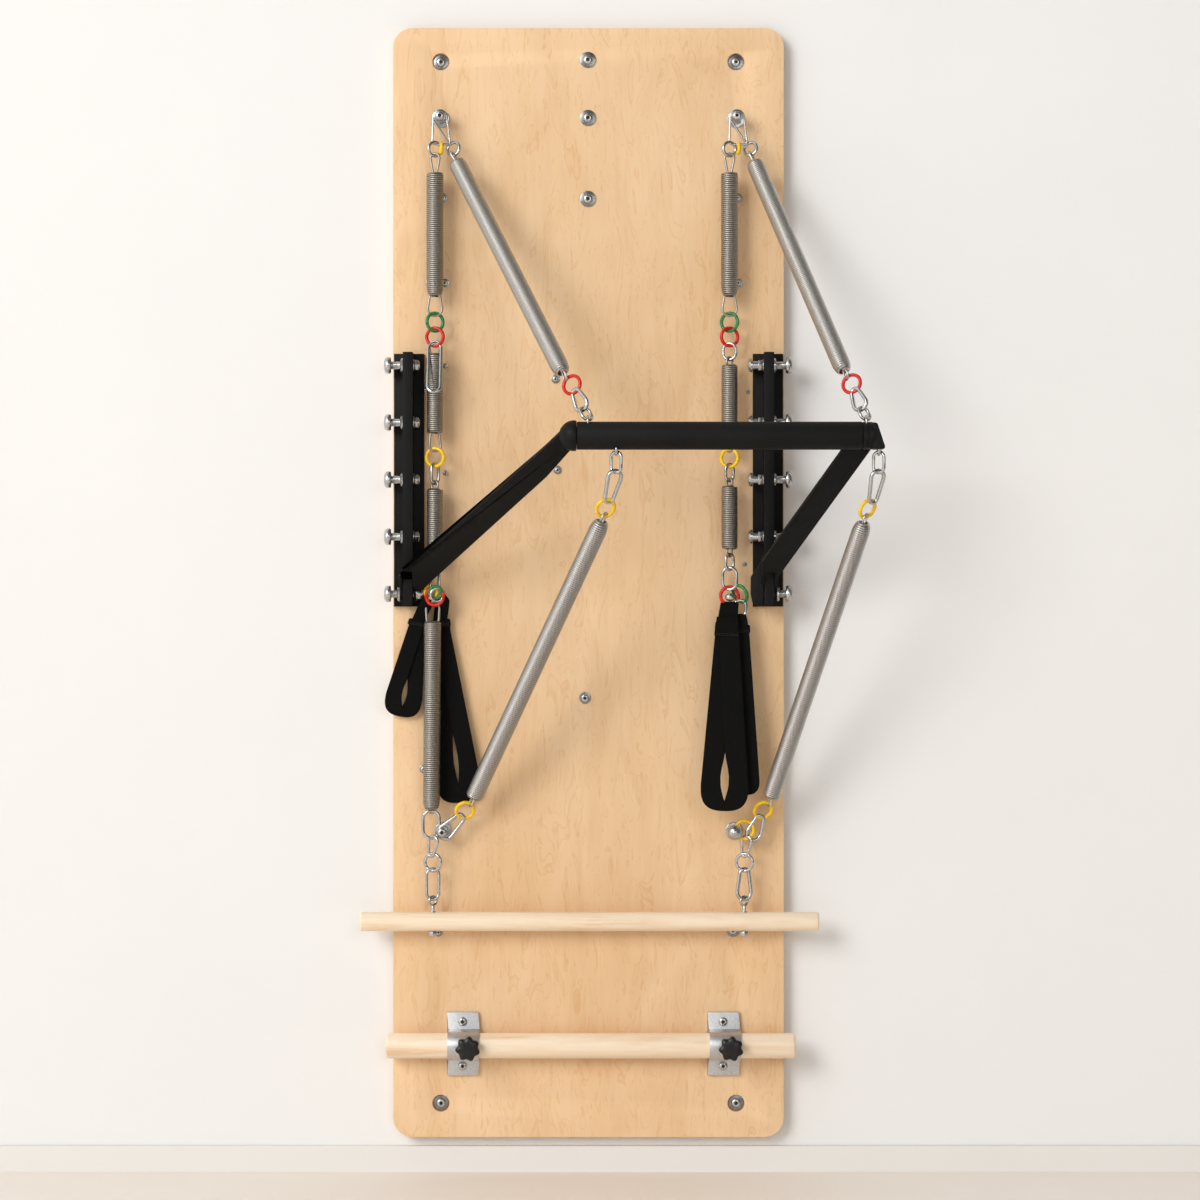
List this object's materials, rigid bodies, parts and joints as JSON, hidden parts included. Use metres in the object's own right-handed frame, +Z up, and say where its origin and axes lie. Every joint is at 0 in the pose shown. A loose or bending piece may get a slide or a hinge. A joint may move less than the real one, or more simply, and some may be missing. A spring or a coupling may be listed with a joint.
{
  "type": "pilates springboard",
  "caption": "Wall-mounted pilates springboard: plywood board with hinged push-through bar, spring columns, strap handles, chain-hung roll-down bar and clamped foot bar.",
  "frame": {"origin": "middle of the board's back face, the face that lies on the wall", "axes": "+Z up the board, +X to the right as seen from the front, +Y into the wall"},
  "size_m": [0.9302, 0.3543, 2.03],
  "materials": {
    "plywood": "satin lacquered maple plywood",
    "dowel_wood": "satin lacquered hardwood dowel",
    "steel": "galvanised",
    "spring_steel": "bright drawn wire",
    "dark_spring": "oiled dark wire",
    "black_metal": "matte black powder coat",
    "foam": "closed-cell foam grip",
    "webbing": "woven black webbing",
    "aluminium": "brushed",
    "knob_plastic": "moulded"
  },
  "bodies": {
    "board": {"panel": "plywood", "top_left_eyebolt": "steel", "top_right_eyebolt": "steel", "bottom_left_eyebolt": "steel", "bottom_right_eyebolt": "steel", "left_rail": "black_metal", "right_rail": "black_metal", "left_rail_bolt_1": "steel", "left_rail_bolt_2": "steel", "left_rail_bolt_3": "steel", "left_rail_bolt_4": "steel", "left_rail_bolt_5": "steel", "right_rail_bolt_1": "steel", "right_rail_bolt_2": "steel", "right_rail_bolt_3": "steel", "right_rail_bolt_4": "steel", "right_rail_bolt_5": "steel", "top_left_snap_hook": "steel", "top_right_snap_hook": "steel", "bottom_left_carabiner": "steel", "bottom_right_carabiner": "steel", "left_spring_1": "dark_spring", "left_coupling_1": "steel", "left_spring_2": "dark_spring", "left_coupling_2": "steel", "left_spring_3": "dark_spring", "left_coupling_3": "steel", "left_spring_4": "dark_spring", "upper_left_bar_spring": "spring_steel", "upper_right_bar_spring": "spring_steel", "lower_left_bar_spring": "spring_steel", "lower_right_bar_spring": "spring_steel", "left_clamp": "aluminium", "right_clamp": "aluminium"},
    "push_frame": {"push_bar": "black_metal", "push_bar_foam": "foam", "left_arm": "black_metal", "right_arm": "black_metal", "upper_left_bar_clip": "steel", "upper_right_bar_clip": "steel", "lower_left_bar_clip": "steel", "lower_right_bar_clip": "steel"},
    "roll_down": {"roll_down_bar": "dowel_wood", "roll_down_left_eyebolt": "steel", "roll_down_right_eyebolt": "steel", "roll_down_left_chain": "steel", "roll_down_right_chain": "steel"},
    "right_column": {"right_spring_1": "dark_spring"},
    "right_middle": {"right_coupling_1": "steel", "right_spring_2": "dark_spring"},
    "right_lower": {"right_coupling_2": "steel", "right_spring_3": "dark_spring"},
    "right_rings": {"right_handle_rings": "steel"},
    "front_handle": {"right_front_handle": "webbing"},
    "rear_handle": {"right_rear_handle": "webbing"},
    "short_handle": {"left_short_handle": "webbing"},
    "long_handle": {"left_long_handle": "webbing"},
    "foot_rail": {"foot_bar": "dowel_wood"},
    "left_clamp_knob": {"left_knob": "knob_plastic"},
    "right_clamp_knob": {"right_knob": "knob_plastic"}
  },
  "joints": [
    {"name": "push_bar_swing", "type": "hinge", "parent": "board", "child": "push_frame", "pos_m": [0, -0.055, -0.021], "axis": [1, 0, 0], "range_deg": [-7, 20], "stiffness_Nm_per_rad": 220, "springref_deg": -4.01, "deforming": ["upper_left_bar_spring", "upper_right_bar_spring", "lower_left_bar_spring", "lower_right_bar_spring"]},
    {"name": "roll_down_bar_swing", "type": "hinge", "parent": "board", "child": "roll_down", "pos_m": [0, -0.061, -0.4935], "axis": [-1, 0, 0], "range_deg": [0, 60]},
    {"name": "right_column_swing", "type": "hinge", "parent": "board", "child": "right_column", "pos_m": [0.261, -0.061, 0.7798], "axis": [-1, 0, 0], "range_deg": [0, 12]},
    {"name": "right_spring_1_stretch", "type": "slide", "parent": "right_column", "child": "right_middle", "axis": [0, 0, -1], "range_m": [0, 0.041], "stiffness_N_per_m": 700, "springref_m": -0.04, "deforming": ["right_spring_1"]},
    {"name": "right_spring_2_stretch", "type": "slide", "parent": "right_middle", "child": "right_lower", "axis": [0, 0, -1], "range_m": [0, 0.027], "stiffness_N_per_m": 1050, "springref_m": -0.026, "deforming": ["right_spring_2"]},
    {"name": "right_spring_3_stretch", "type": "slide", "parent": "right_lower", "child": "right_rings", "axis": [0, 0, -1], "range_m": [0, 0.022], "stiffness_N_per_m": 1300, "springref_m": -0.021, "deforming": ["right_spring_3"]},
    {"name": "right_front_handle_swing", "type": "hinge", "parent": "right_rings", "child": "front_handle", "pos_m": [0.261, -0.061, -0.0408], "axis": [-1, 0, 0], "range_deg": [0, 40]},
    {"name": "right_rear_handle_swing", "type": "hinge", "parent": "right_rings", "child": "rear_handle", "pos_m": [0.28023, -0.061, -0.06299], "axis": [-1, 0, 0], "range_deg": [0, 40]},
    {"name": "left_short_handle_swing", "type": "hinge", "parent": "board", "child": "short_handle", "pos_m": [-0.2928, -0.061, -0.0343], "axis": [-0.5878, 0, 0.809], "range_deg": [0, 20]},
    {"name": "left_long_handle_swing", "type": "hinge", "parent": "board", "child": "long_handle", "pos_m": [-0.279, -0.061, -0.0243], "axis": [0, -1, 0], "range_deg": [0, 20]},
    {"name": "foot_bar_slide", "type": "slide", "parent": "board", "child": "foot_rail", "axis": [1, 0, 0], "range_m": [-0.04, 0.04]},
    {"name": "left_knob_turn", "type": "hinge", "parent": "board", "child": "left_clamp_knob", "pos_m": [-0.218, -0.0565, -0.843], "axis": [0, 1, 0], "continuous": true},
    {"name": "right_knob_turn", "type": "hinge", "parent": "board", "child": "right_clamp_knob", "pos_m": [0.258, -0.0565, -0.843], "axis": [0, 1, 0], "continuous": true}
  ],
  "couplings": [
    {"joint": "right_spring_2_stretch", "follows": "right_spring_1_stretch", "ratio": 0.65},
    {"joint": "right_spring_3_stretch", "follows": "right_spring_1_stretch", "ratio": 0.52},
    {"joint": "right_rear_handle_swing", "follows": "right_front_handle_swing", "ratio": 1}
  ]
}
